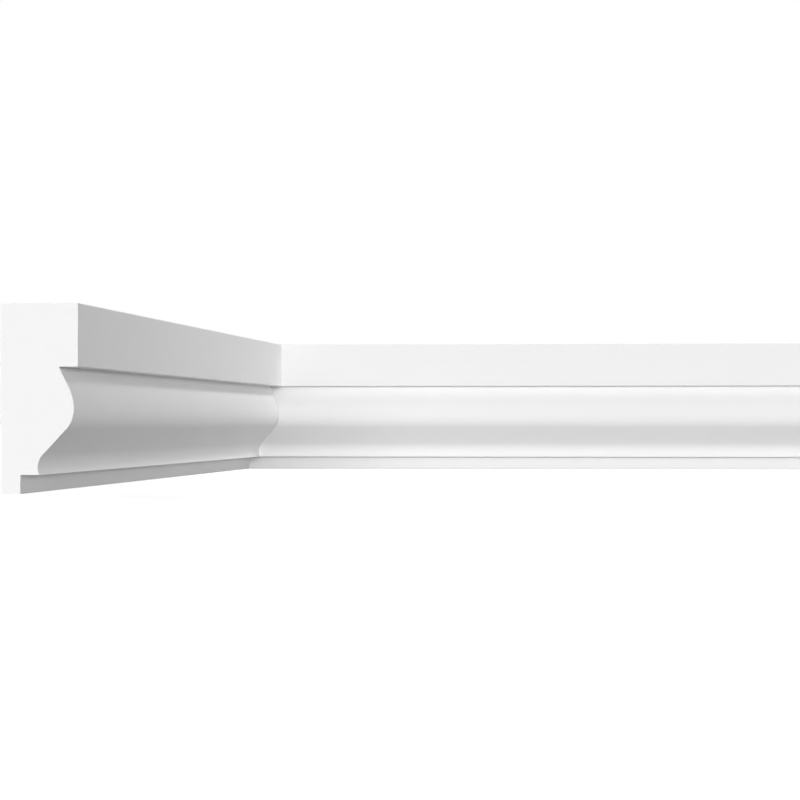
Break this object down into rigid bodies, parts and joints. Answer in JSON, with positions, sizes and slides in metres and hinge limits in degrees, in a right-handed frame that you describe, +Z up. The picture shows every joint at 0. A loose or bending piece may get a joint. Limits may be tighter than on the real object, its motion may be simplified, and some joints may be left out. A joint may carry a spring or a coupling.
{
  "type": "moulding",
  "caption": "White ogee wall moulding with a flat upper band and a small lower fillet, in straight lengths mitred round an inside corner; trims a wall and hides the joint behind it.",
  "frame": {"origin": "the corner of the two walls at the moulding's lower edge: the foot of the back edge where the two wall faces meet", "axes": "+Z up, from the lower edge to the flat band; +X along the long length, away from the corner; +Y into the wall behind the long length, so the short length runs along -Y and its wall is on its -X side"},
  "size_m": [2, 0.5, 0.06],
  "materials": {
    "primed_white": "matte"
  },
  "bodies": {
    "root": {"long_length": "primed_white", "short_length": "primed_white"}
  },
  "joints": []
}
